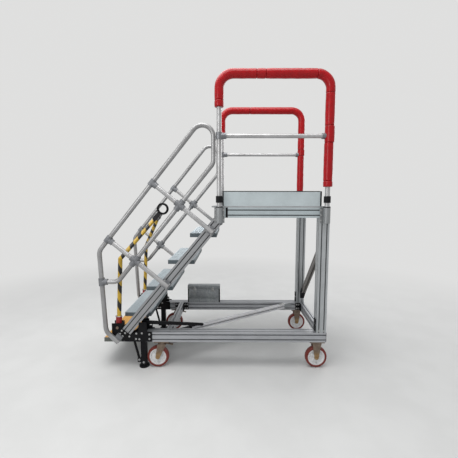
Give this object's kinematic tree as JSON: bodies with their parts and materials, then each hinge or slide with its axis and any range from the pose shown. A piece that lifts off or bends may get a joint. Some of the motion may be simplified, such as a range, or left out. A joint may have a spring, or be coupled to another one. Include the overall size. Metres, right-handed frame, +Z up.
{
  "type": "mobile aircraft stairs",
  "caption": "Wheeled aluminium maintenance stairs with a railed work platform, folding tow bar and lever-operated parking jacks.",
  "frame": {"origin": "on the floor, in the middle of the length and width", "axes": "+Z up, +X from the stair foot to the platform, +Y to the far side of the picture"},
  "size_m": [2.096, 1.0764, 2.6351],
  "materials": {
    "aluminium": "satin anodised extrusion with drawn lines and light scuffs",
    "tube": "satin brushed tube",
    "tread": "serrated mill-finish tread planks",
    "step_yellow": "safety yellow paint, scuffed",
    "casting": "grey die-cast clamps, slightly rough",
    "black_steel": "black powder-coated steel, fine texture",
    "black_plastic": "matte black plastic",
    "foam_red": "red glossy skin over foam",
    "red_plastic": "red plastic",
    "sheet_grey": "grey galvanised sheet",
    "floor_alu": "ribbed floor planks",
    "zinc": "yellow zinc plating",
    "tyre_pu": "red-brown polyurethane",
    "hub_nylon": "white nylon",
    "hazard_paint": "yellow and black diagonal hazard stripes"
  },
  "bodies": {
    "frame": {"base_rails": "aluminium", "base_cross_beams": "aluminium", "base_brace": "aluminium", "uprights": "aluminium", "rear_brace": "aluminium", "platform_beams": "aluminium", "toe_boards": "aluminium", "stringers": "aluminium", "post_sockets": "aluminium", "handrail_near": "tube", "handrail_far": "tube", "handrail_struts": "tube", "guardrail_near": "tube", "guardrail_far": "tube", "knee_rails": "tube", "treads": "tread", "first_tread": "step_yellow", "stringer_heads": "casting", "rail_clamps": "casting", "step_arms": "casting", "foot_plates": "black_steel", "tow_brackets": "black_steel", "corner_brackets": "black_steel", "toe_board_ends": "black_plastic", "post_collars": "black_plastic", "profile_caps": "black_plastic", "foam_sleeve_near": "foam_red", "foam_sleeve_far": "foam_red", "tool_box": "sheet_grey", "platform_floor": "floor_alu", "tow_pins": "zinc", "castor_plates": "zinc", "rear_forks": "zinc"},
    "castor_front_near": {"swivel_fork_near": "zinc"},
    "castor_front_far": {"swivel_fork_far": "zinc"},
    "wheel_front_near": {"tyre_front_near": "tyre_pu", "hub_front_near": "hub_nylon"},
    "wheel_front_far": {"tyre_front_far": "tyre_pu", "hub_front_far": "hub_nylon"},
    "wheel_rear_near": {"tyre_rear_near": "tyre_pu", "hub_rear_near": "hub_nylon"},
    "wheel_rear_far": {"tyre_rear_far": "tyre_pu", "hub_rear_far": "hub_nylon"},
    "tow_bar": {"tow_bar": "hazard_paint", "tow_ring": "black_steel", "tow_caps": "red_plastic"},
    "jack_near": {"jack_leg_near": "black_steel"},
    "jack_far": {"jack_leg_far": "black_steel"},
    "jack_lever": {"jack_lever": "black_steel"}
  },
  "joints": [
    {"name": "castor_swivel_near", "type": "hinge", "parent": "frame", "child": "castor_front_near", "pos_m": [-0.485, -0.405, 0.235], "axis": [0, 0, 1], "continuous": true},
    {"name": "castor_swivel_far", "type": "hinge", "parent": "frame", "child": "castor_front_far", "pos_m": [-0.485, 0.405, 0.235], "axis": [0, 0, 1], "continuous": true},
    {"name": "wheel_spin_front_near", "type": "hinge", "parent": "castor_front_near", "child": "wheel_front_near", "pos_m": [-0.525, -0.405, 0.1], "axis": [0, 1, 0], "continuous": true},
    {"name": "wheel_spin_front_far", "type": "hinge", "parent": "castor_front_far", "child": "wheel_front_far", "pos_m": [-0.525, 0.405, 0.1], "axis": [0, 1, 0], "continuous": true},
    {"name": "wheel_spin_rear_near", "type": "hinge", "parent": "frame", "child": "wheel_rear_near", "pos_m": [0.948, -0.405, 0.1], "axis": [0, 1, 0], "continuous": true},
    {"name": "wheel_spin_rear_far", "type": "hinge", "parent": "frame", "child": "wheel_rear_far", "pos_m": [0.948, 0.405, 0.1], "axis": [0, 1, 0], "continuous": true},
    {"name": "tow_bar_fold", "type": "hinge", "parent": "frame", "child": "tow_bar", "pos_m": [-0.884, 0, 0.388], "axis": [0, -1, 0], "range_deg": [0, 100]},
    {"name": "jack_lever_lift", "type": "hinge", "parent": "frame", "child": "jack_lever", "pos_m": [-0.652, 0, 0.424], "axis": [0, -1, 0], "range_deg": [0, 42]},
    {"name": "jack_slide_near", "type": "slide", "parent": "frame", "child": "jack_near", "axis": [0, 0, 1], "range_m": [0, 0.033]},
    {"name": "jack_slide_far", "type": "slide", "parent": "frame", "child": "jack_far", "axis": [0, 0, 1], "range_m": [0, 0.033]}
  ],
  "couplings": [
    {"joint": "jack_slide_near", "follows": "jack_lever_lift", "m_per_rad": 0.04379},
    {"joint": "jack_slide_far", "follows": "jack_lever_lift", "m_per_rad": 0.04379}
  ]
}
